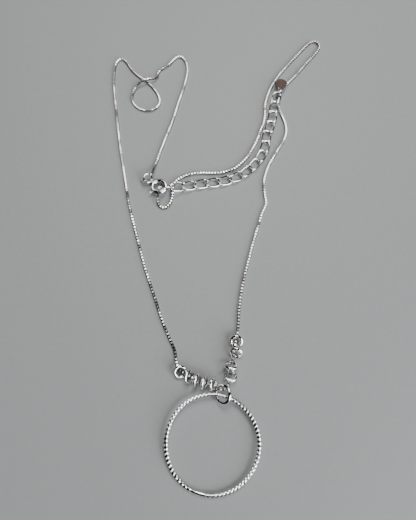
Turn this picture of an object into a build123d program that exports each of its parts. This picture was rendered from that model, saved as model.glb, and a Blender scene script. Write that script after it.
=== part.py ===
"""Open circle pendant on a fine box chain, lying closed on a flat surface.

Millimetres. +X is the right of the laid necklace, +Y is from the pendant to the clasp,
+Z is up from the surface, which is at Z = 0.
"""
from build123d import *
import math
import os

os.makedirs("parts", exist_ok=True)

# Driving dimensions.
chain_width = 0.70            # side of the box chain's links
pendant_outer = 22.8          # open circle, over its wire
pendant_wire_corner = 1.00    # twisted square wire, over its corners
pendant_wire_flat = 0.76      # and over its flats
pendant_turns = 18            # turns of the wire's twist round the circle
pendant_seam = (240.5, 263.0) # plain soldered stretch, degrees round the circle
jump_outer = 5.0
jump_wire = 0.90
spacer_outer = 3.40
spacer_wire = 0.75
end_ring_outer = 2.85
end_ring_wire = 0.45
catch_ring_outer = 3.66
catch_ring_wire = 0.46
tag_ring_outer = 2.30
tag_ring_wire = 0.40
end_loop_outer = 1.59         # small loops soldered on the chain's ends
end_loop_wire = 0.35
link_length = 4.50
link_width = 2.90
link_wire = 0.45
link_pitch = 3.47
link_start = 1.40             # way along the extender's line of the first link's middle
link_twist = 0.23             # rise of a link's corner per mm of length and of width
link_count = 15
clasp_outer = 4.90
clasp_tube = 1.00
clasp_wall = 0.16
pin_clearance = 0.04          # round the clasp's pin in its tube
clasp_gap = (172.0, 208.0)    # degrees round the clasp, from +X of the laid necklace
latch_travel = 36.0           # degrees that the pin draws back
latch_cover = 8.0             # degrees of pin beyond the gap, in the far mouth
latch_tail = 34.0             # degrees of pin behind the knob
knob_angle = 216.0
knob_stem = 0.28
knob_size = 0.62
eye_angle = 142.0
eye_outer = 1.56
eye_wire = 0.40
tag_length = 5.20
tag_width = 3.60
tag_thickness = 0.50
tag_hole = 1.00
plate_length = 2.50
plate_width = 1.50
plate_thickness = 0.30
plate_hole = 0.90

# Rings: middle x, y, z, way that the plane rises (degrees from +X), tilt from level.
spacer_places = {
    "left_spacer_1": (-10.04, -38.42, 0.96, 118.0, 25.9),
    "left_spacer_2": (-7.76, -39.58, 1.39, 158.0, 50.0),
    "left_spacer_3": (-5.87, -40.43, 1.62, 158.0, 70.0),
    "left_spacer_4": (-4.07, -40.99, 1.62, 160.0, 70.0),
    "left_spacer_5": (-1.98, -41.31, 1.58, 167.0, 64.2),
    "right_spacer_1": (3.94, -31.02, 0.96, 84.0, 26.0),
    "right_spacer_2": (3.78, -33.91, 1.37, 80.0, 48.6),
    "right_spacer_3": (2.46, -36.93, 1.39, -97.0, 50.0),
    "right_spacer_4": (2.33, -39.42, 1.08, -100.0, 31.8),
}
jump_place = (0.43, -43.70, 1.84, 2.0, 42.6)
clasp_place = (-17.07, 12.42, 1.12, -37.0, 6.0)
end_ring_place = (-20.38, 15.02, 1.30, 128.7, 27.0)
catch_ring_place = (-14.99, 11.54, 1.79, 277.5, 73.8)
tag_ring_place = (18.57, 45.00, 1.43, -19.8, 62.0)
left_loop_place = (-19.60, 16.03, 1.44, 322.0, 70.0)
right_loop_place = (-16.46, 11.04, 2.45, 160.0, 18.0)

# The open circle hangs in the jump ring at this point of its wire and rests on the surface at
# its far side.
pendant_hang = (0.363, -44.008, 1.54)
pendant_toward = 76.4         # degrees from +X, from the circle's middle to that point
pendant_way = 88.0            # degrees from +X, the way that its plane rises

# Lines of the two chain strands and of the extender, x, y, z.
floor = chain_width / 2
left_route = [
    (1.09, -42.16, 1.46), (0.45, -42.80, 1.85), (-0.85, -42.29, 2.16), (-2.99, -41.38, 1.32),
    (-5.39, -40.56, 1.22), (-7.49, -39.63, 1.29), (-9.10, -38.79, 1.50), (-10.48, -37.76, 0.70),
    (-11.1, -36.0, floor), (-11.3, -33.4, floor), (-12.7, -30.6, floor), (-15.0, -25.7, floor),
    (-17.1, -19.4, floor),
    (-19.8, -12.4, floor), (-22.4, -3.4, floor), (-25.5, 7.4, floor), (-27.2, 16.4, floor),
    (-29.5, 27.6, floor), (-30.9, 37.2, floor), (-32.5, 46.9, floor), (-32.9, 53.9, floor),
    (-32.4, 57.5, floor), (-30.7, 58.9, floor), (-29.0, 57.3, floor), (-27.0, 53.4, floor),
    (-23.7, 50.7, floor), (-21.4, 48.9, floor), (-18.8, 45.3, floor), (-17.7, 41.9, floor),
    (-19.3, 39.1, floor), (-22.6, 38.6, floor), (-25.6, 40.3, floor), (-26.8, 43.3, floor),
    (-26.2, 46.5, floor), (-24.6, 48.6, 1.1), (-22.4, 49.7, 1.5), (-20.6, 50.1, 1.1),
    (-19.0, 51.2, floor), (-19.0, 53.1, floor), (-17.6, 54.8, floor), (-15.4, 56.3, floor),
    (-14.0, 58.6, floor), (-12.3, 59.8, floor), (-10.5, 58.4, floor), (-9.5, 54.9, floor),
    (-10.2, 49.0, floor), (-12.3, 41.6, floor), (-14.0, 34.3, floor), (-15.4, 30.4, floor),
    (-17.1, 24.6, floor), (-18.2, 20.7, floor), (-18.9, 18.3, 0.75), (-19.24, 16.49, 1.44),
]
right_route = [
    (1.15, -42.10, 1.42), (1.72, -41.53, 1.07), (2.08, -40.21, 0.81), (2.35, -38.61, 1.31),
    (2.54, -37.05, 1.29), (3.00, -35.38, 1.38), (3.46, -33.31, 1.39), (3.63, -31.58, 1.20),
    (4.15, -29.4, floor), (4.6, -27.0, floor), (4.8, -22.9, floor), (6.1, -14.9, floor),
    (8.1, -8.3, floor), (9.1, -4.3, floor), (10.6, 0.3, floor), (12.0, 4.6, floor),
    (13.4, 7.4, floor), (12.9, 10.2, floor), (12.7, 14.4, floor), (14.1, 19.0, floor),
    (16.8, 23.9, floor), (19.8, 28.7, floor), (20.5, 32.2, floor), (19.7, 36.1, floor),
    (18.5, 38.9, floor), (18.3, 42.6, floor), (19.6, 46.4, floor), (21.9, 49.1, floor),
    (25.2, 52.9, floor), (29.2, 58.0, floor), (32.4, 61.9, floor), (33.2, 64.4, floor),
    (31.6, 65.9, floor), (29.6, 65.0, floor), (27.2, 62.2, floor), (22.8, 56.8, floor),
    (18.6, 51.4, floor), (16.5, 47.6, floor), (15.0, 43.7, floor), (14.1, 39.7, floor),
    (14.1, 35.6, floor), (12.6, 31.7, floor), (11.7, 28.8, floor), (10.4, 26.1, floor),
    (8.3, 22.3, floor), (5.2, 18.9, floor), (1.7, 17.4, floor), (-2.1, 17.1, floor),
    (-6.2, 17.3, floor), (-9.6, 16.4, floor), (-12.3, 14.9, floor), (-13.3, 12.8, floor),
    (-13.2, 9.9, floor), (-13.7, 7.4, floor), (-15.2, 6.0, floor), (-16.8, 6.4, floor),
    (-17.4, 8.0, 1.1), (-17.2, 9.5, 2.2), (-16.5, 10.43, 2.40),
]
extender_route = [
    (-13.50, 11.85, 1.75), (-10.33, 12.53, 1.02), (-6.92, 13.20, 0.62), (-3.49, 13.81, 0.59),
    (-0.05, 14.13, 0.59), (3.40, 15.03, 0.59), (6.90, 16.72, 0.59), (9.87, 19.28, 0.59),
    (12.32, 22.45, 0.59), (13.88, 26.01, 0.62), (14.19, 29.64, 0.72), (15.61, 33.16, 0.92),
    (16.57, 37.47, 1.25), (17.10, 40.76, 1.40), (18.10, 43.54, 1.40), (18.60, 44.95, 1.40),
]


def tilted(place):
    """The frame of a ring: its X rises along the tilt, its Y is level, its Z is the axis."""
    x, y, z, way, tilt = place
    a = math.radians(way)
    t = math.radians(tilt)
    rise = Vector(math.cos(t) * math.cos(a), math.cos(t) * math.sin(a), math.sin(t))
    axis = Vector(-math.sin(t) * math.cos(a), -math.sin(t) * math.sin(a), math.cos(t))
    return Plane(origin=(x, y, z), x_dir=rise, z_dir=axis)


def ring(place, outer, wire):
    """A round ring of round wire."""
    return tilted(place) * Torus(outer / 2 - wire / 2, wire / 2)


def corner_radii(points):
    """The bend at each corner: 0.45 of its shorter run over the tangent of half its turn."""
    radii = []
    for before, corner, after in zip(points, points[1:], points[2:]):
        into = Vector(*corner) - Vector(*before)
        out = Vector(*after) - Vector(*corner)
        turn = math.radians(into.get_angle(out))
        radii.append(0.45 * min(into.length, out.length) / math.tan(turn / 2))
    return radii


def tube(points, diameter):
    """A round tube along straight runs joined by tangent bends."""
    path = FilletPolyline(*points, radius=corner_radii(points))
    start = Plane(origin=path @ 0, z_dir=path % 0)
    return sweep(start * Circle(diameter / 2), path=path), path.length


def along(points, distance):
    """The point at a plan distance along a smooth line steered by the points, and that line."""
    line = [Vector(*points[0])]
    for i in range(1, len(points) - 1):
        a = (Vector(*points[i - 1]) + Vector(*points[i])) / 2 if i > 1 else Vector(*points[0])
        b = Vector(*points[i])
        last = i == len(points) - 2
        c = Vector(*points[-1]) if last else (b + Vector(*points[i + 1])) / 2
        for s in range(1, 25):
            u = s / 24
            line.append(a * (1 - u) ** 2 + b * (2 * u * (1 - u)) + c * u ** 2)
    gone = 0.0
    for p, q in zip(line, line[1:]):
        step = math.hypot(q.X - p.X, q.Y - p.Y)
        if gone + step >= distance:
            return p + (q - p) * ((distance - gone) / step)
        gone += step
    return line[-1]


def closed_wire(stations):
    """A solid loop of wire through a list of closed sections with equal numbers of points."""
    faces = []
    count = len(stations)
    sides = len(stations[0])
    for i in range(count):
        here = stations[i]
        there = stations[(i + 1) % count]
        for j in range(sides):
            k = (j + 1) % sides
            faces.append(Face(Wire.make_polygon([here[j], there[j], there[k]])))
            faces.append(Face(Wire.make_polygon([here[j], there[k], here[k]])))
    return Solid(Shell(faces))


def curb_link(place, heading, pitch):
    """A twisted curb link: a rounded loop whose opposite corners rise, of six-sided wire."""
    half_length = (link_length - link_wire) / 2
    half_width = (link_width - link_wire) / 2
    count = 18
    squareness = 2 / 2.6
    middle = []
    for i in range(count):
        a = 2 * math.pi * (i + 0.5) / count
        x = half_length * math.copysign(abs(math.cos(a)) ** squareness, math.cos(a))
        y = half_width * math.copysign(abs(math.sin(a)) ** squareness, math.sin(a))
        middle.append(Vector(x, y, link_twist * x * y))
    lie = Plane(origin=place, x_dir=(1, 0, 0), z_dir=(0, 0, 1))
    lie = lie.rotated((0, -pitch, heading), ordering=Extrinsic.XYZ)
    stations = []
    for i in range(count):
        ahead = (middle[(i + 1) % count] - middle[i - 1]).normalized()
        out = (Vector(middle[i].X, middle[i].Y, 0) - ahead * ahead.dot(middle[i])).normalized()
        up = ahead.cross(out)
        section = []
        for j in range(6):
            b = math.radians(60 * j + 30)
            point = middle[i] + (out * math.cos(b) + up * math.sin(b)) * (link_wire / 2)
            section.append(lie.from_local_coords(point))
        stations.append(section)
    return closed_wire(stations)


def circle_place(radius):
    """Where the open circle lies: one side held at the hanging point, the other on the floor."""
    x, y, z = pendant_hang
    tilt = math.asin((z - pendant_wire_corner / 2) / (2 * radius))
    toward = math.radians(pendant_toward)
    middle_x = x - radius * math.cos(toward)
    middle_y = y - radius * math.sin(toward)
    middle_z = pendant_wire_corner / 2 + radius * math.sin(tilt)
    return middle_x, middle_y, middle_z, pendant_way, math.degrees(tilt)


def twisted_ring():
    """The open circle: square wire with softened corners, twisted, with a plain soldered seam."""
    count = pendant_turns * 12
    radius = (pendant_outer - pendant_wire_corner) / 2
    lie = circle_place(radius)
    frame = tilted(lie)
    print("open circle", [round(v, 3) for v in lie])
    stations = []
    for i in range(count):
        a = 360 * i / count
        world = a + pendant_way
        plain = pendant_seam[0] < world % 360 < pendant_seam[1]
        radial = Vector(math.cos(math.radians(a)), math.sin(math.radians(a)), 0)
        section = []
        for j in range(8):
            b = math.radians(45 * j + pendant_turns * a)
            reach = pendant_wire_corner / 2 if j % 2 == 0 else pendant_wire_flat / 2
            if plain:
                reach = (pendant_wire_corner + pendant_wire_flat) / 4
            point = radial * (radius + reach * math.cos(b)) + Vector(0, 0, reach * math.sin(b))
            section.append(frame.from_local_coords(point))
        stations.append(section)
    return closed_wire(stations)


def arc_tube(outer_radius, radius, start, stop):
    """A bent round bar about the clasp's axis, from one angle to another."""
    section = Plane.XZ * Pos(outer_radius, 0) * Circle(radius)
    bar = revolve(section, axis=Axis.Z, revolution_arc=stop - start)
    return Rot(0, 0, start) * bar


def in_clasp(shape):
    """From the clasp's own flat frame, angles counted from +X of the necklace, to its place."""
    return tilted(clasp_place) * (Rot(0, 0, -clasp_place[3]) * shape)


# Chain strands, each with the loop soldered on its end.
left_tube, left_length = tube(left_route, chain_width)
right_tube, right_length = tube(right_route, chain_width)
chain_left = left_tube + ring(left_loop_place, end_loop_outer, end_loop_wire)
chain_right = right_tube + ring(right_loop_place, end_loop_outer, end_loop_wire)
print("chain lengths", round(left_length, 1), round(right_length, 1))
print("tube volumes", round(left_tube.volume, 2), round(right_tube.volume, 2),
      "section by length", round(math.pi * floor ** 2 * left_length, 2),
      round(math.pi * floor ** 2 * right_length, 2))
print("left radii", [round(r, 1) for r in corner_radii(left_route)])
print("right radii", [round(r, 1) for r in corner_radii(right_route)])

# Clasp: a bent hollow tube with a gap, a slot for the knob's stem, and a small eye.
clasp_radius = (clasp_outer - clasp_tube) / 2
bore = clasp_tube / 2 - clasp_wall
pin = bore - pin_clearance
stem_slot = knob_stem + 2 * pin_clearance
shell_start = clasp_gap[1]
shell_stop = clasp_gap[0] + 360
hollow = (arc_tube(clasp_radius, clasp_tube / 2, shell_start, shell_stop)
          - arc_tube(clasp_radius, bore, shell_start - 2, shell_stop + 2))
slot_half = math.degrees((knob_stem / 2 + 2 * pin_clearance) / clasp_radius)
slot_band = Plane.XZ * Pos(clasp_radius + clasp_tube / 2, 0) * Rectangle(clasp_tube, stem_slot)
slot_start = knob_angle - slot_half - 1.5
slot_turn = latch_travel + 2 * slot_half + 3.0
slot = Rot(0, 0, slot_start) * revolve(slot_band, axis=Axis.Z, revolution_arc=slot_turn)
eye_radius = (eye_outer - eye_wire) / 2
eye_reach = clasp_radius + clasp_tube / 2 + eye_outer / 2 - 0.15
eye = Pos(eye_reach, 0, 0) * Rot(90, 0, 0) * Torus(eye_radius, eye_wire / 2)
eye_weld = Pos(clasp_radius + clasp_tube / 2 - 0.06, 0, 0) * Sphere(0.26)
bore_clear = arc_tube(clasp_radius, bore, shell_start - 2, shell_stop + 2)
eye_whole = Rot(0, 0, eye_angle) * (eye + eye_weld) - bore_clear
clasp_body = in_clasp(hollow - slot + eye_whole)

# The clasp's pin, closed over the gap, with the stem and knob that draw it back.
pin_start = clasp_gap[0] - latch_cover
pin_bar = arc_tube(clasp_radius, pin, pin_start, knob_angle + latch_tail)
stem_reach = clasp_tube / 2 + 0.30
stem = Pos(clasp_radius + stem_reach / 2, 0, 0) * Box(stem_reach, knob_stem, knob_stem)
knob = Pos(clasp_radius + stem_reach + knob_size / 2 - 0.08, 0, 0) * Sphere(knob_size / 2)
clasp_latch = in_clasp(pin_bar + Rot(0, 0, knob_angle) * (stem + knob))

# Plates: a bare teardrop at the extender's end, and a small one by the clasp.
# Each starts with its hole at the origin and is hung on the level side of its ring.
def level_side(place, outer, wire, way):
    """The middle of a ring's wire where it is level with the ring's middle."""
    return tilted(place).from_local_coords(Vector(0, way * (outer - wire) / 2, 0))


tip_radius = tag_hole / 2 + 0.45
round_end = Pos(tag_length - tip_radius - tag_width / 2, 0) * Circle(tag_width / 2)
drop = make_hull((Circle(tip_radius) + round_end).edges())
drop_solid = extrude(drop, amount=tag_thickness / 2, both=True)
drop_solid = chamfer(drop_solid.faces().filter_by(Axis.Z).edges(), 0.10)
drop_solid -= Cylinder(tag_hole / 2, tag_thickness * 3)
tag_hang = level_side(tag_ring_place, tag_ring_outer, tag_ring_wire, 1)
end_tag = Pos(tag_hang) * Rot(0, 0, 74.5) * Rot(0, 6, 0) * drop_solid

plate_middle = Pos(plate_length / 2 - plate_width / 2, 0)
plate_outline = plate_middle * RectangleRounded(plate_length, plate_width, 0.3 * plate_width)
plate = extrude(plate_outline, amount=plate_thickness / 2, both=True)
plate -= Cylinder(plate_hole / 2, plate_thickness * 3)
plate_hang = level_side(end_ring_place, end_ring_outer, end_ring_wire, 1)
clasp_tag = Pos(plate_hang) * Rot(0, 0, end_ring_place[3]) * Rot(0, 33, 0) * plate

parts = {
    "chain_left": chain_left,
    "chain_right": chain_right,
    "pendant_ring": twisted_ring(),
    "pendant_jump_ring": ring(jump_place, jump_outer, jump_wire),
    "clasp_body": clasp_body,
    "clasp_latch": clasp_latch,
    "left_end_ring": ring(end_ring_place, end_ring_outer, end_ring_wire),
    "clasp_tag": clasp_tag,
    "extender_ring": ring(catch_ring_place, catch_ring_outer, catch_ring_wire),
    "tag_ring": ring(tag_ring_place, tag_ring_outer, tag_ring_wire),
    "end_tag": end_tag,
}
for name, place in spacer_places.items():
    parts[name] = ring(place, spacer_outer, spacer_wire)
for i in range(link_count):
    way = link_start + i * link_pitch
    back = along(extender_route, way - link_pitch / 2)
    ahead = along(extender_route, way + link_pitch / 2)
    rise = ahead - back
    heading = math.degrees(math.atan2(rise.Y, rise.X))
    pitch = math.degrees(math.atan2(rise.Z, link_pitch))
    place = along(extender_route, way)
    parts[f"extender_link_{i + 1:02d}"] = curb_link(place, heading, pitch)

for name, shape in parts.items():
    export_step(shape, f"parts/{name}.step")
    print(name, len(shape.solids()), round(shape.volume, 3), shape.is_valid)
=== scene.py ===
import math
import bpy
import numpy as np
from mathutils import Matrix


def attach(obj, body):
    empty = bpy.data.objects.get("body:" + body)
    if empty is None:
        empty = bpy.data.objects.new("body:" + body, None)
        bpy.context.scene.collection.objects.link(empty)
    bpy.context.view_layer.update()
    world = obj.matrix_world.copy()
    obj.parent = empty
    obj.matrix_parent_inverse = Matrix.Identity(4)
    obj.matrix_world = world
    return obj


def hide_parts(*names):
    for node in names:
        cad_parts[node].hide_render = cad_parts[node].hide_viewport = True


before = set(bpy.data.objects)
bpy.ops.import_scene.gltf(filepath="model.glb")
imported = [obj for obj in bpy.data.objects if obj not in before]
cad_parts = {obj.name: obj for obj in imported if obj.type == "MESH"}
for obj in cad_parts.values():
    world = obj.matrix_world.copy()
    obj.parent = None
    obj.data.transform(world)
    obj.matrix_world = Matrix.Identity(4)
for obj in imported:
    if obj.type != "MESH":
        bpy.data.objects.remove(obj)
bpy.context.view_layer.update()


# Camera
# The necklace is seen from just above the surface it lies on, from over the circle's upper
# edge, leaning towards the clasp. Its focal length is given in pixels of the picture.
picture_width = 416.0
picture_focus = 417.0
camera_lean = 18.4
camera_data = bpy.data.cameras.new("camera")
camera_data.sensor_fit = "HORIZONTAL"
camera_data.sensor_width = 36.0
camera_data.lens = 36.0 * picture_focus / picture_width
camera_data.clip_start = 0.002
camera_data.clip_end = 10.0
camera = bpy.data.objects.new("camera", camera_data)
camera.location = (-0.0032, -0.0447, 0.10688)
camera.rotation_euler = (math.radians(camera_lean), 0.0, 0.0)
bpy.context.collection.objects.link(camera)
bpy.context.scene.camera = camera


# Open circle
# The pendant is a ring of square silver wire with softened corners, twisted eighteen times on
# its way round and closed with a plain soldered stretch, then rhodium plated and polished.
circle_place = (-2.20, -54.60, 1.04, 88.0, 2.7)
circle_radius = 10.90
circle_flat = 0.38
circle_turns = 18
circle_seam = (240.5, 263.0)
circle_fade = 4
circle_plain = 0.44
sharp_edge = 35


def ring_frame(place):
    """Middle and axes of a tilted ring: the first axis rises at the tilt towards the way given
    from +X, the second is level, and the third is the ring's own axis."""
    way, tilt = math.radians(place[3]), math.radians(place[4])
    level_way = np.array([math.cos(way), math.sin(way), 0.0])
    up = np.array([0.0, 0.0, 1.0])
    rising = math.cos(tilt) * level_way + math.sin(tilt) * up
    level = np.array([-math.sin(way), math.cos(way), 0.0])
    return np.array(place[:3], float), rising, level, np.cross(rising, level)


def wire_ring(place, radius, reach):
    """Points of a closed wire ring. The array reach holds the wire's radius for each step round
    the ring (rows) and round the wire (columns); a point is the middle, plus the ring's radius
    and reach times cosine along the spoke, plus reach times sine along the ring's axis."""
    middle, rising, level, axis = ring_frame(place)
    around = np.linspace(0, 2 * np.pi, reach.shape[0], endpoint=False)[:, None, None]
    section = np.linspace(0, 2 * np.pi, reach.shape[1], endpoint=False)[None, :, None]
    spoke = np.cos(around) * rising + np.sin(around) * level
    return middle + spoke * (radius + reach[..., None] * np.cos(section)) + (
        axis * reach[..., None] * np.sin(section))


def closed_mesh(name, sheets, material, node, polish=None):
    """One piece from sheets of points in millimetres, each an array of copies, steps, points
    and xyz that closes on itself both ways. Every point makes a four-sided face with the next
    ones, all turned the other way round where a copy's signed volume comes out below zero. The
    last arrays, one a sheet, mark each face of a copy that keeps its metal colour, not painted
    shade."""
    places, corners, start, unshaded_values = [], [], 0, []
    for number, sheet in enumerate(sheets):
        copies, steps, points, _ = sheet.shape
        index = np.arange(steps * points).reshape(steps, points)
        ahead, beside = np.roll(index, -1, 0), np.roll(index, -1, 1)
        both = np.roll(ahead, -1, 1)
        faces = np.stack([index, ahead, both, beside], -1).reshape(-1, 4)
        flat = sheet.reshape(copies, -1, 3)
        shifted = flat[0] - flat[0].mean(0)
        a, b, c, d = (shifted[faces[:, k]] for k in range(4))
        volume = (a * np.cross(b, c)).sum() + (a * np.cross(c, d)).sum()
        if volume < 0:
            faces = faces[:, ::-1]
        offsets = start + np.arange(copies)[:, None, None] * steps * points
        corners.append((faces[None] + offsets).reshape(-1, 4))
        places.append(flat.reshape(-1, 3))
        start += copies * steps * points
        if polish:
            unshaded_values.append(np.tile(polish[number].ravel(), copies))
    places = np.concatenate(places) * 0.001
    corners = np.concatenate(corners)
    mesh = bpy.data.meshes.new(name)
    mesh.vertices.add(len(places))
    mesh.vertices.foreach_set("co", places.ravel())
    mesh.loops.add(corners.size)
    mesh.loops.foreach_set("vertex_index", corners.ravel())
    mesh.polygons.add(len(corners))
    mesh.polygons.foreach_set("loop_start", np.arange(0, corners.size, 4))
    mesh.polygons.foreach_set("use_smooth", np.ones(len(corners), bool))
    mesh.update(calc_edges=True)
    # Faces marked 0 here take the chain material's painted shade.
    if polish:
        mesh.attributes.new("polish", "FLOAT", "FACE").data.foreach_set(
            "value", np.concatenate(unshaded_values).astype(np.float32))
    mesh.validate()
    mesh.set_sharp_from_angle(angle=math.radians(sharp_edge))
    mesh.materials.append(material)
    piece = bpy.data.objects.new(name, mesh)
    bpy.context.collection.objects.link(piece)
    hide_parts(node)
    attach(piece, "necklace")


def linear(code):
    """A colour written as sRGB hex, as linear red, green, blue and alpha."""
    parts = [int(code[i:i + 2], 16) / 255 for i in (1, 3, 5)]
    return [p / 12.92 if p <= 0.04045 else ((p + 0.055) / 1.055) ** 2.4 for p in parts] + [1.0]


def add(material, kind, values=None, **settings):
    """Adds a node to a material, with its settings, and its inputs set to values or linked to
    the outputs given as (node, output name)."""
    node = material.node_tree.nodes.new(kind)
    for key, value in settings.items():
        setattr(node, key, value)
    for key, value in (values or {}).items():
        if isinstance(value, tuple) and isinstance(value[0], bpy.types.Node):
            material.node_tree.links.new(value[0].outputs[value[1]], node.inputs[key])
        else:
            node.inputs[key].default_value = value
    return node


# Twisted wire, rhodium plated: bright white metal whose tone drifts a little every few
# millimetres, with fine rub marks a tenth of a millimetre apart that soften its reflections.
twisted_wire = bpy.data.materials.new("rhodium_plated_twisted_wire")
twisted_wire.use_nodes = True
twisted_wire.node_tree.nodes.clear()
place = add(twisted_wire, "ShaderNodeTexCoord")
rub = add(twisted_wire, "ShaderNodeTexNoise", {"Vector": (place, "Object"), "Scale": 9000.0,
                                              "Detail": 3.0, "Roughness": 0.6})
cloud = add(twisted_wire, "ShaderNodeTexNoise", {"Vector": (place, "Object"), "Scale": 420.0,
                                                "Detail": 2.0})
gloss = add(twisted_wire, "ShaderNodeMapRange", {"Value": (rub, "Fac"), "From Min": 0.3,
                                                "From Max": 0.7, "To Min": 0.05, "To Max": 0.12})
tone = add(twisted_wire, "ShaderNodeMix", {"Factor": (cloud, "Fac"), "A": linear("#F4F4F3"),
                                          "B": linear("#E6E6E6")}, data_type="RGBA")
grain = add(twisted_wire, "ShaderNodeBump", {"Height": (rub, "Fac"), "Strength": 0.10,
                                            "Distance": 0.00001})
shader = add(twisted_wire, "ShaderNodeBsdfPrincipled", {
    "Base Color": (tone, "Result"), "Metallic": 1.0, "Roughness": (gloss, "Result"),
    "Normal": (grain, "Normal")})
add(twisted_wire, "ShaderNodeOutputMaterial", {"Surface": (shader, "BSDF")})

steps, points = 1440, 32
turn = np.linspace(0, 360, steps, endpoint=False)[:, None]
about = np.linspace(0, 360, points, endpoint=False)[None, :]
# A square of power 8, which has flat sides and softened corners, turned with the twist: the
# reach is the half side over the eighth root of cosine and sine to the eighth.
twist = np.radians(about - circle_turns * turn - 45)
reach = circle_flat * (np.cos(twist) ** 8 + np.sin(twist) ** 8) ** (-1 / 8)
# The plain stretch is round wire, and fades in and out of the twist at its ends.
world_turn = (turn + circle_place[3]) % 360
plain = np.clip((world_turn - circle_seam[0]) / circle_fade, 0, 1) * np.clip(
    (circle_seam[1] - world_turn) / circle_fade, 0, 1)
reach = reach * (1 - plain) + circle_plain * plain
closed_mesh("twisted_circle", [wire_ring(circle_place, circle_radius, reach)[None]],
            twisted_wire, "pendant_ring")


# Jump ring of the circle
# One turn of round silver wire, 5 mm over all, closed on the chain and round the circle; its
# ends meet in a fine cut.
jump_place = (0.43, -43.70, 1.84, 2.0, 42.6)
jump_radius = 2.05
jump_wire = 0.89
jump_cut = 215
# Mirror polished wire, rhodium plated: clear reflections, hairline marks from handling.
mirror_wire = bpy.data.materials.new("rhodium_plated_mirror_wire")
mirror_wire.use_nodes = True
mirror_wire.node_tree.nodes.clear()
place = add(mirror_wire, "ShaderNodeTexCoord")
hairline = add(mirror_wire, "ShaderNodeMapping", {"Vector": (place, "Object"),
                                                 "Rotation": (0.3, 0.2, 0.7),
                                                 "Scale": (12000.0, 1400.0, 5000.0)})
marks = add(mirror_wire, "ShaderNodeTexNoise", {"Vector": (hairline, "Vector"), "Scale": 1.0,
                                               "Detail": 2.0})
cloud = add(mirror_wire, "ShaderNodeTexNoise", {"Vector": (place, "Object"), "Scale": 600.0,
                                               "Detail": 1.0})
gloss = add(mirror_wire, "ShaderNodeMapRange", {"Value": (marks, "Fac"), "From Min": 0.35,
                                               "From Max": 0.75, "To Min": 0.03, "To Max": 0.08})
tone = add(mirror_wire, "ShaderNodeMix", {"Factor": (cloud, "Fac"), "A": linear("#F6F6F5"),
                                         "B": linear("#ECECEC")}, data_type="RGBA")
shader = add(mirror_wire, "ShaderNodeBsdfPrincipled", {
    "Base Color": (tone, "Result"), "Metallic": 1.0, "Roughness": (gloss, "Result")})
add(mirror_wire, "ShaderNodeOutputMaterial", {"Surface": (shader, "BSDF")})


def cut_wire(wire, steps, points, cut):
    """The wire's radius round a ring of round wire: half the wire, less a tenth at the cut,
    fading as the exponential of minus the squared angle over 1.2 degrees."""
    away = np.abs((np.linspace(0, 360, steps, endpoint=False) - cut + 180) % 360 - 180)
    pinch = 1 - 0.10 * np.exp(-(away / 1.2) ** 2)
    return (wire / 2) * pinch[:, None] * np.ones((1, points))


jump_points = wire_ring(jump_place, jump_radius, cut_wire(jump_wire, 240, 40, jump_cut))
closed_mesh("polished_jump_ring", [jump_points[None]], mirror_wire, "pendant_jump_ring")


# Spacer rings
# Nine loose rings of thick round silver wire, 3.4 mm over all, five on the left strand and
# four on the right, lying as they fell. They are soldered shut and mirror polished.
spacer_radius = 1.325
spacer_reach = 0.375
spacer_places = {
    "left_spacer_1": (-10.04, -38.42, 0.96, 118.0, 25.9),
    "left_spacer_2": (-7.76, -39.58, 1.39, 158.0, 50.0),
    "left_spacer_3": (-5.87, -40.43, 1.62, 158.0, 70.0),
    "left_spacer_4": (-4.07, -40.99, 1.62, 160.0, 70.0),
    "left_spacer_5": (-1.98, -41.31, 1.58, 167.0, 64.2),
    "right_spacer_1": (3.94, -31.02, 0.96, 84.0, 26.0),
    "right_spacer_2": (3.78, -33.91, 1.37, 80.0, 48.6),
    "right_spacer_3": (2.46, -36.93, 1.39, -97.0, 50.0),
    "right_spacer_4": (2.33, -39.42, 1.08, -100.0, 31.8),
}
for node, place in spacer_places.items():
    spacer_points = wire_ring(place, spacer_radius, np.full((120, 32), spacer_reach))
    closed_mesh("polished_" + node, [spacer_points[None]], mirror_wire, node)


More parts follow.
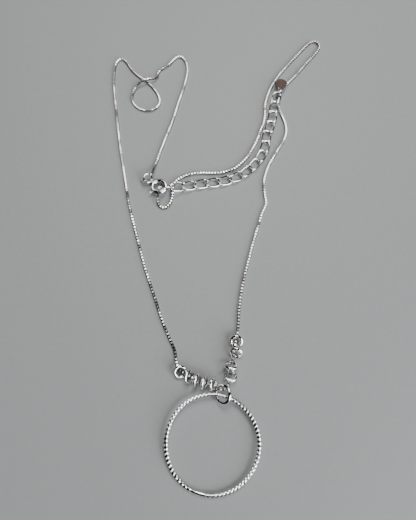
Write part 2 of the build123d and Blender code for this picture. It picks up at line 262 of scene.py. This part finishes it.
# Box chain
# Square links bent from flat silver strip, about 0.65 mm wide and long, each turned a quarter
# against the next and hooked through it. Each strand ends in a small soldered loop.
link_spacing = 0.418
left_route = [
    (1.09, -42.16, 1.46), (0.45, -42.80, 1.85), (-0.85, -42.29, 2.16), (-2.99, -41.38, 1.32),
    (-5.39, -40.56, 1.22), (-7.49, -39.63, 1.29), (-9.10, -38.79, 1.50), (-10.48, -37.76, 0.70),
    (-11.1, -36.0, 0.35), (-11.3, -33.4, 0.35), (-12.7, -30.6, 0.35), (-15.0, -25.7, 0.35),
    (-17.1, -19.4, 0.35), (-19.8, -12.4, 0.35), (-22.4, -3.4, 0.35), (-25.5, 7.4, 0.35),
    (-27.2, 16.4, 0.35), (-29.5, 27.6, 0.35), (-30.9, 37.2, 0.35), (-32.5, 46.9, 0.35),
    (-32.9, 53.9, 0.35), (-32.4, 57.5, 0.35), (-30.7, 58.9, 0.35), (-29.0, 57.3, 0.35),
    (-27.0, 53.4, 0.35), (-23.7, 50.7, 0.35), (-21.4, 48.9, 0.35), (-18.8, 45.3, 0.35),
    (-17.7, 41.9, 0.35), (-19.3, 39.1, 0.35), (-22.6, 38.6, 0.35), (-25.6, 40.3, 0.35),
    (-26.8, 43.3, 0.35), (-26.2, 46.5, 0.35), (-24.6, 48.6, 1.1), (-22.4, 49.7, 1.5),
    (-20.6, 50.1, 1.1), (-19.0, 51.2, 0.35), (-19.0, 53.1, 0.35), (-17.6, 54.8, 0.35),
    (-15.4, 56.3, 0.35), (-14.0, 58.6, 0.35), (-12.3, 59.8, 0.35), (-10.5, 58.4, 0.35),
    (-9.5, 54.9, 0.35), (-10.2, 49.0, 0.35), (-12.3, 41.6, 0.35), (-14.0, 34.3, 0.35),
    (-15.4, 30.4, 0.35), (-17.1, 24.6, 0.35), (-18.2, 20.7, 0.35), (-18.9, 18.3, 0.75),
    (-19.24, 16.49, 1.44),
]
right_route = [
    (1.15, -42.10, 1.42), (1.72, -41.53, 1.07), (2.08, -40.21, 0.81), (2.35, -38.61, 1.31),
    (2.54, -37.05, 1.29), (3.00, -35.38, 1.38), (3.46, -33.31, 1.39), (3.63, -31.58, 1.20),
    (4.15, -29.4, 0.35), (4.6, -27.0, 0.35), (4.8, -22.9, 0.35), (6.1, -14.9, 0.35),
    (8.1, -8.3, 0.35), (9.1, -4.3, 0.35), (10.6, 0.3, 0.35), (12.0, 4.6, 0.35),
    (13.4, 7.4, 0.35), (12.9, 10.2, 0.35), (12.7, 14.4, 0.35), (14.1, 19.0, 0.35),
    (16.8, 23.9, 0.35), (19.8, 28.7, 0.35), (20.5, 32.2, 0.35), (19.7, 36.1, 0.35),
    (18.5, 38.9, 0.35), (18.3, 42.6, 0.35), (19.6, 46.4, 0.35), (21.9, 49.1, 0.35),
    (25.2, 52.9, 0.35), (29.2, 58.0, 0.35), (32.4, 61.9, 0.35), (33.2, 64.4, 0.35),
    (31.6, 65.9, 0.35), (29.6, 65.0, 0.35), (27.2, 62.2, 0.35), (22.8, 56.8, 0.35),
    (18.6, 51.4, 0.35), (16.5, 47.6, 0.35), (15.0, 43.7, 0.35), (14.1, 39.7, 0.35),
    (14.1, 35.6, 0.35), (12.6, 31.7, 0.35), (11.7, 28.8, 0.35), (10.4, 26.1, 0.35),
    (8.3, 22.3, 0.35), (5.2, 18.9, 0.35), (1.7, 17.4, 0.35), (-2.1, 17.1, 0.35),
    (-6.2, 17.3, 0.35), (-9.6, 16.4, 0.35), (-12.3, 14.9, 0.35), (-13.3, 12.8, 0.35),
    (-13.2, 9.9, 0.35), (-13.7, 7.4, 0.35), (-15.2, 6.0, 0.35), (-16.8, 6.4, 0.35),
    (-17.4, 8.0, 1.1), (-17.2, 9.5, 2.2), (-16.5, 10.43, 2.40),
]
left_loop_place = (-19.60, 16.03, 1.44, 322.0, 70.0)
right_loop_place = (-16.46, 11.04, 2.45, 160.0, 18.0)
loop_radius = 0.62
loop_reach = 0.175

# Polished strip, rhodium plated: each link's outer face is a bright spot, a little softened by
# wear. Its cut edges and inside are rougher, and painted near black as shade between the links.
chain_strip = bpy.data.materials.new("rhodium_plated_chain_strip")
chain_strip.use_nodes = True
chain_strip.node_tree.nodes.clear()
place = add(chain_strip, "ShaderNodeTexCoord")
wear = add(chain_strip, "ShaderNodeTexNoise", {"Vector": (place, "Object"), "Scale": 2600.0,
                                              "Detail": 2.0})
link_tone = add(chain_strip, "ShaderNodeTexNoise", {"Vector": (place, "Object"),
                                                   "Scale": 900.0, "Detail": 1.0})
gloss = add(chain_strip, "ShaderNodeMapRange", {"Value": (wear, "Fac"), "From Min": 0.3,
                                               "From Max": 0.7, "To Min": 0.28, "To Max": 0.33})
bright = add(chain_strip, "ShaderNodeMix", {"Factor": (link_tone, "Fac"),
                                           "A": linear("#F7F7F7"), "B": linear("#E8E8E9")},
             data_type="RGBA")
outer = add(chain_strip, "ShaderNodeAttribute", attribute_name="polish")
# 2A2622 is painted shade: the dark inside of the chain and between its links, laid on every face
#                          except the outer ones.
tone = add(chain_strip, "ShaderNodeMix", {"Factor": (outer, "Fac"), "A": linear("#2A2622"),
                                         "B": (bright, "Result")}, data_type="RGBA")
dull = add(chain_strip, "ShaderNodeMix", {"Factor": (outer, "Fac"), "A": 0.42,
                                         "B": (gloss, "Result")})
shader = add(chain_strip, "ShaderNodeBsdfPrincipled", {
    "Base Color": (tone, "Result"), "Metallic": 1.0, "Roughness": (dull, "Result")})
add(chain_strip, "ShaderNodeOutputMaterial", {"Surface": (shader, "BSDF")})


def chain_line(name, route):
    """The strand's line: a quadratic NURBS curve steered by the route's points, read back from
    Blender as points in millimetres."""
    curve = bpy.data.curves.new(name, "CURVE")
    curve.dimensions = "3D"
    curve.resolution_u = 24
    spline = curve.splines.new("NURBS")
    spline.points.add(len(route) - 1)
    steer = np.ones((len(route), 4))
    steer[:, :3] = np.array(route) * 0.001
    spline.points.foreach_set("co", steer.ravel())
    spline.order_u = 3
    spline.use_endpoint_u = True
    holder = bpy.data.objects.new(name, curve)
    bpy.context.collection.objects.link(holder)
    bpy.context.view_layer.update()
    mesh = bpy.data.meshes.new_from_object(holder)
    line = np.zeros(len(mesh.vertices) * 3)
    mesh.vertices.foreach_get("co", line)
    bpy.data.objects.remove(holder)
    bpy.data.meshes.remove(mesh)
    return line.reshape(-1, 3) * 1000


def box_links(line, pitch, seed):
    """Box links along a line. A link is an eight-sided loop, 0.63 mm long and 0.66 mm over
    all, of strip 0.47 mm wide and 0.08 mm thick with bevelled edges. Link number n sits at
    (n + 1/2) pitches, lies along the line there, and is rolled about it by a quarter turn per
    link and a lean in degrees: two sines of the way along the strand and a few degrees of its
    own, which die out towards the far fold. A leaning link is lifted until its corner, at its
    half height times cosine plus its half width times sine, clears the surface."""
    run = np.r_[0, np.cumsum(np.linalg.norm(np.diff(line, axis=0), axis=1))]
    count = int(run[-1] / pitch)
    spacing = run[-1] / count
    at = (np.arange(count) + 0.5) * spacing
    middle = np.stack([np.interp(at, run, line[:, k]) for k in range(3)], 1)
    before = np.stack([np.interp(at - 0.3, run, line[:, k]) for k in range(3)], 1)
    after = np.stack([np.interp(at + 0.3, run, line[:, k]) for k in range(3)], 1)
    along = after - before
    along /= np.linalg.norm(along, axis=1)[:, None]
    side = np.cross([0.0, 0.0, 1.0], along)
    side /= np.linalg.norm(side, axis=1)[:, None]
    up = np.cross(along, side)
    chance = np.random.default_rng(seed)
    lean = 5 * np.sin(at / 2.3 + seed) + 4 * np.sin(at / 0.9 + seed) + chance.normal(0, 3, count)
    fold_end, fold_run = 64, 6
    lean *= np.clip((fold_end - middle[:, 1]) / fold_run, 0, 1)
    half_height, half_width, lying_height = 0.335, 0.22, 0.35
    reach = half_height * np.cos(np.radians(lean)) + half_width * np.abs(np.sin(np.radians(lean)))
    middle[:, 2] += np.maximum(0, reach - lying_height)
    roll = np.radians(90 * (np.arange(count) % 2) + lean)[:, None]
    across = side * np.cos(roll) + up * np.sin(roll)
    face = np.cross(along, across)
    x = np.array([0.275, 0.190, -0.190, -0.275, -0.275, -0.190, 0.190, 0.275])
    y = np.array([0.215, 0.290, 0.290, 0.215, -0.215, -0.290, -0.290, -0.215])
    ahead = np.stack([np.roll(x, -1) - np.roll(x, 1), np.roll(y, -1) - np.roll(y, 1)], 1)
    ahead /= np.linalg.norm(ahead, axis=1)[:, None]
    out = np.stack([ahead[:, 1], -ahead[:, 0]], 1)
    strip = np.array([(0.235, 0), (0.215, 0.04), (-0.215, 0.04), (-0.235, 0), (-0.215, -0.04),
                      (0.215, -0.04)])
    in_x = x[:, None] + out[:, 0:1] * strip[None, :, 1]
    in_y = y[:, None] + out[:, 1:2] * strip[None, :, 1]
    in_z = np.broadcast_to(strip[None, :, 0], in_x.shape)
    return (middle[:, None, None] + in_x[None, ..., None] * along[:, None, None]
            + in_y[None, ..., None] * across[:, None, None]
            + in_z[None, ..., None] * face[:, None, None])


# The outer face of a link's long sides and the whole small loop stay bright; the rest is painted
# shade.
flats = np.zeros((8, 6))
flats[1::4, 1] = 1.0
loop = np.full((48, 16), loop_reach)
for side, route, place, seed in (("left", left_route, left_loop_place, 3),
                                 ("right", right_route, right_loop_place, 8)):
    closed_mesh("box_chain_" + side, [
        box_links(chain_line(side + "_line", route), link_spacing, seed),
        wire_ring(place, loop_radius, loop)[None]],
        chain_strip, "chain_" + side, polish=[flats, np.ones_like(loop)])


# Extender
# Fifteen curb links of round silver wire, 4.5 by 2.9 mm, each twisted so that the chain lies
# flat, with a ring at each end: one in the clasp, one that holds the teardrop plate.
extender_route = [
    (-13.50, 11.85, 1.75), (-10.33, 12.53, 1.02), (-6.92, 13.20, 0.62), (-3.49, 13.81, 0.59),
    (-0.05, 14.13, 0.59), (3.40, 15.03, 0.59), (6.90, 16.72, 0.59), (9.87, 19.28, 0.59),
    (12.32, 22.45, 0.59), (13.88, 26.01, 0.62), (14.19, 29.64, 0.72), (15.61, 33.16, 0.92),
    (16.57, 37.47, 1.25), (17.10, 40.76, 1.40), (18.10, 43.54, 1.40), (18.60, 44.95, 1.40),
]
link_pitch = 3.47
link_start = 1.40
link_twist = 0.23
link_half_length = 2.025
link_half_width = 1.225
link_reach = 0.225
link_power = 2.6
# Tumbled round wire, rhodium plated: bright, slightly softer than the mirror polished rings.
link_wire = bpy.data.materials.new("rhodium_plated_tumbled_wire")
link_wire.use_nodes = True
link_wire.node_tree.nodes.clear()
place = add(link_wire, "ShaderNodeTexCoord")
tumble = add(link_wire, "ShaderNodeTexNoise", {"Vector": (place, "Object"), "Scale": 3800.0,
                                              "Detail": 3.0})
gloss = add(link_wire, "ShaderNodeMapRange", {"Value": (tumble, "Fac"), "From Min": 0.3,
                                             "From Max": 0.7, "To Min": 0.05, "To Max": 0.11})
cloud = add(link_wire, "ShaderNodeTexNoise", {"Vector": (place, "Object"), "Scale": 350.0})
tone = add(link_wire, "ShaderNodeMix", {"Factor": (cloud, "Fac"), "A": linear("#F4F4F4"),
                                       "B": linear("#E8E8E8")}, data_type="RGBA")
dents = add(link_wire, "ShaderNodeBump", {"Height": (tumble, "Fac"), "Strength": 0.08,
                                         "Distance": 0.00001})
shader = add(link_wire, "ShaderNodeBsdfPrincipled", {
    "Base Color": (tone, "Result"), "Metallic": 1.0, "Roughness": (gloss, "Result"),
    "Normal": (dents, "Normal")})
add(link_wire, "ShaderNodeOutputMaterial", {"Surface": (shader, "BSDF")})


def steered_line(route):
    """A smooth line steered by points: from middle to middle of the runs, each piece is the
    parabola that the corner between them draws, in twenty-four steps."""
    p = np.array(route)
    a = (p[:-2] + p[1:-1]) / 2
    c = (p[1:-1] + p[2:]) / 2
    a[0], c[-1] = p[0], p[-1]
    u = (np.arange(1, 25) / 24)[None, :, None]
    line = (a[:, None] * (1 - u) ** 2 + p[1:-1, None] * (2 * u * (1 - u)) + c[:, None] * u ** 2)
    return np.vstack([p[:1], line.reshape(-1, 3)])


def curb_link(middle, heading, pitch):
    """A twisted curb link. Its middle line is a rounded oblong (x and y are the half sides times
    cosine and sine to the power 2 over the link's power, with their signs), raised by the twist
    times x times y, and a round section is carried along it."""
    a = 2 * np.pi * (np.arange(48) + 0.5) / 48
    power = 2 / link_power
    x = link_half_length * np.sign(np.cos(a)) * np.abs(np.cos(a)) ** power
    y = link_half_width * np.sign(np.sin(a)) * np.abs(np.sin(a)) ** power
    line = np.stack([x, y, link_twist * x * y], 1)
    ahead = np.roll(line, -1, 0) - np.roll(line, 1, 0)
    ahead /= np.linalg.norm(ahead, axis=1)[:, None]
    flat = line * [1, 1, 0]
    out = flat - ahead * (ahead * flat).sum(1)[:, None]
    out /= np.linalg.norm(out, axis=1)[:, None]
    up = np.cross(ahead, out)
    b = np.linspace(0, 2 * np.pi, 16, endpoint=False)[None, :, None]
    points = line[:, None] + (out[:, None] * np.cos(b) + up[:, None] * np.sin(b)) * link_reach
    ch, sh, cp, sp = math.cos(heading), math.sin(heading), math.cos(pitch), math.sin(pitch)
    turn = np.array([[ch * cp, -sh, -ch * sp], [sh * cp, ch, -sh * sp], [sp, 0, cp]])
    return points @ turn.T + middle


line = steered_line(extender_route)
run = np.r_[0, np.cumsum(np.hypot(*np.diff(line[:, :2], axis=0).T))]
for number in range(15):
    way = link_start + number * link_pitch
    back, here, ahead = (np.array([np.interp(way + s, run, line[:, k]) for k in range(3)])
                         for s in (-link_pitch / 2, 0, link_pitch / 2))
    rise = ahead - back
    link = curb_link(here, math.atan2(rise[1], rise[0]), math.atan2(rise[2], link_pitch))
    node = f"extender_link_{number + 1:02d}"
    closed_mesh("round_" + node, [link[None]], link_wire, node)
extender_rings = {
    "extender_ring": ((-14.99, 11.54, 1.79, 277.5, 73.8), 1.60, 0.46, 320),
    "tag_ring": ((18.57, 45.00, 1.43, -19.8, 62.0), 0.95, 0.40, 60),
    "left_end_ring": ((-20.38, 15.02, 1.30, 128.7, 27.0), 1.20, 0.45, 20),
}
for node, (place, radius, wire, cut) in extender_rings.items():
    ring_points = wire_ring(place, radius, cut_wire(wire, 120, 24, cut))
    closed_mesh("round_" + node, [ring_points[None]], link_wire, node)


# Clasp
# A spring ring: a bent silver tube with a gap that a sprung pin closes, a small knob to draw
# the pin back, and a soldered eye. Its surface is tumbled bright like the extender's.
for node in ("clasp_body", "clasp_latch"):
    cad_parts[node].data.materials.clear()
    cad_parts[node].data.materials.append(link_wire)


# Plates
# A teardrop stamped from half a millimetre of silver hangs bare at the extender's end, and a
# small oblong one by the clasp. Both are mirror polished with softened rims.
# Mirror polished plate, rhodium plated: one clear dark reflection, blurred by wiping marks.
plate_mirror = bpy.data.materials.new("rhodium_plated_mirror_plate")
plate_mirror.use_nodes = True
plate_mirror.node_tree.nodes.clear()
place = add(plate_mirror, "ShaderNodeTexCoord")
sweep = add(plate_mirror, "ShaderNodeMapping", {"Vector": (place, "Object"),
                                               "Rotation": (0.0, 0.0, 0.5),
                                               "Scale": (9000.0, 900.0, 3000.0)})
marks = add(plate_mirror, "ShaderNodeTexNoise", {"Vector": (sweep, "Vector"), "Scale": 1.0,
                                                "Detail": 2.0})
gloss = add(plate_mirror, "ShaderNodeMapRange", {"Value": (marks, "Fac"), "From Min": 0.35,
                                                "From Max": 0.7, "To Min": 0.06,
                                                "To Max": 0.16})
cloud = add(plate_mirror, "ShaderNodeTexNoise", {"Vector": (place, "Object"), "Scale": 500.0})
tone = add(plate_mirror, "ShaderNodeMix", {"Factor": (cloud, "Fac"), "A": linear("#F3F2F0"),
                                          "B": linear("#E4E3E1")}, data_type="RGBA")
shader = add(plate_mirror, "ShaderNodeBsdfPrincipled", {
    "Base Color": (tone, "Result"), "Metallic": 1.0, "Roughness": (gloss, "Result")})
add(plate_mirror, "ShaderNodeOutputMaterial", {"Surface": (shader, "BSDF")})
for node in ("end_tag", "clasp_tag"):
    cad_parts[node].data.materials.clear()
    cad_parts[node].data.materials.append(plate_mirror)


# Surface and light
# The necklace lies on a plain pale matt board. Soft light comes from a wide window at the
# right and a small one at the far end; the rest of the room is dim.
board_mesh = bpy.data.meshes.new("board")
half = 0.65
board_mesh.from_pydata([(-half, -half, 0), (half, -half, 0), (half, half, 0), (-half, half, 0)],
                       [], [(0, 1, 2, 3)])
board = bpy.data.objects.new("board", board_mesh)
bpy.context.collection.objects.link(board)
# Matt paint: an even pale grey with hardly any shine, and a faint fibre in its tone.
board_paint = bpy.data.materials.new("matt_grey_board")
board_paint.use_nodes = True
board_paint.node_tree.nodes.clear()
place = add(board_paint, "ShaderNodeTexCoord")
fibre = add(board_paint, "ShaderNodeTexNoise", {"Vector": (place, "Object"), "Scale": 900.0,
                                               "Detail": 4.0})
tone = add(board_paint, "ShaderNodeMix", {"Factor": (fibre, "Fac"), "A": linear("#7D8183"),
                                         "B": linear("#868889")}, data_type="RGBA")
shader = add(board_paint, "ShaderNodeBsdfPrincipled", {"Base Color": (tone, "Result"),
                                                      "Roughness": 0.6})
add(board_paint, "ShaderNodeOutputMaterial", {"Surface": (shader, "BSDF")})
board_mesh.materials.append(board_paint)


def soft_light(name, place, aim, width, height, watts, colour):
    """A rectangular light at a place in metres, turned to face the aim."""
    lamp = bpy.data.lights.new(name, "AREA")
    lamp.shape = "RECTANGLE"
    lamp.size, lamp.size_y = width, height
    lamp.energy = watts
    lamp.color = linear(colour)[:3]
    holder = bpy.data.objects.new(name, lamp)
    holder.location = place
    way = np.array(aim, float) - place
    level = math.hypot(way[0], way[1])
    heading = math.atan2(way[1], way[0]) - math.pi / 2
    holder.rotation_euler = (math.atan2(level, -way[2]), 0.0, heading)
    holder.visible_camera = False
    bpy.context.collection.objects.link(holder)


soft_light("window_right", (0.72, -0.60, 0.52), (0.0, 0.0, 0.0), 0.88, 0.80, 26.0, "#FCFDFF")
soft_light("window_far", (0.03, 0.38, 0.62), (0.0, 0.0, 0.0), 0.38, 0.40, 5.0, "#FFFCF6")
# A dim brown wall at the far end of the room gives the end plate its red brown reflection.
soft_light("brown_wall", (0.157, 0.594, 0.415), (0.019, 0.047, 0.0), 0.34, 0.28, 0.030, "#FFC6BE")
# The metal mirrors a dim warm room; past the board's edge the eye sees a plain pale wall.
world = bpy.data.worlds.new("room")
world.use_nodes = True
world.node_tree.nodes.clear()
dim = add(world, "ShaderNodeBackground", {"Color": linear("#2A2320"), "Strength": 0.35})
wall = add(world, "ShaderNodeBackground", {"Color": linear("#B4B6B8"), "Strength": 0.7})
ray = add(world, "ShaderNodeLightPath")
seen = add(world, "ShaderNodeMixShader", {0: (ray, "Is Camera Ray"), 1: (dim, "Background"),
                                         2: (wall, "Background")})
add(world, "ShaderNodeOutputWorld", {"Surface": (seen, "Shader")})
bpy.context.scene.world = world
